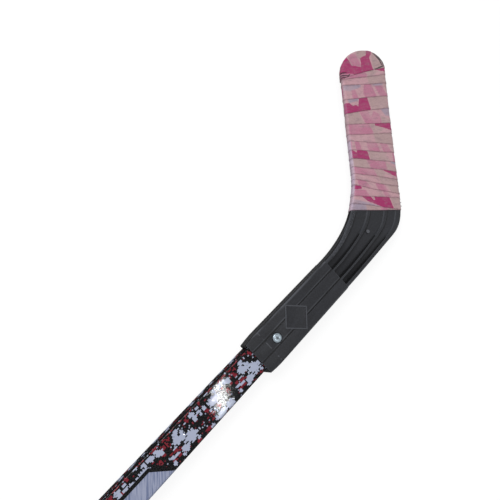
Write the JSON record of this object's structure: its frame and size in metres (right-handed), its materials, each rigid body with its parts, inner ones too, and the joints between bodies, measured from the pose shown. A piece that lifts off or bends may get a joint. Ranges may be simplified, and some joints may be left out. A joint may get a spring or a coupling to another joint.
{
  "type": "hockey stick",
  "caption": "Junior hockey stick: laminated wooden shaft in a patterned film, screwed into the socket of a moulded blade wrapped in cloth tape.",
  "frame": {"origin": "on the flat back of the socket, halfway along it, under the shaft's axis", "axes": "+X along the shaft towards the blade, +Y towards the toe, +Z out of the blade's face; the stick lies on its back"},
  "size_m": [1.3815, 0.2114, 0.0279],
  "materials": {
    "veneer": "bare, sanded",
    "core_wood": "bare, sawn",
    "film": "glossy printed pattern of pale, red and black patches",
    "blade_plastic": "fine moulded grain",
    "screw_zinc": "bright zinc plate",
    "blade_cloth_tape": "woven cotton tape, printed in pink patches",
    "toe_cloth_tape": "woven cotton tape, printed in magenta patches",
    "grip_cloth_tape": "woven cotton tape, printed in pink patches"
  },
  "bodies": {
    "root": {"front_veneer": "veneer", "core_ply_1": "core_wood", "core_ply_2": "core_wood", "core_ply_3": "core_wood", "core_ply_4": "core_wood", "core_ply_5": "core_wood", "back_veneer": "veneer", "printed_film": "film", "blade": "blade_plastic", "socket_screw": "screw_zinc", "blade_tape": "blade_cloth_tape", "toe_tape": "toe_cloth_tape", "grip_tape": "grip_cloth_tape", "knob_tape": "grip_cloth_tape"}
  },
  "joints": []
}
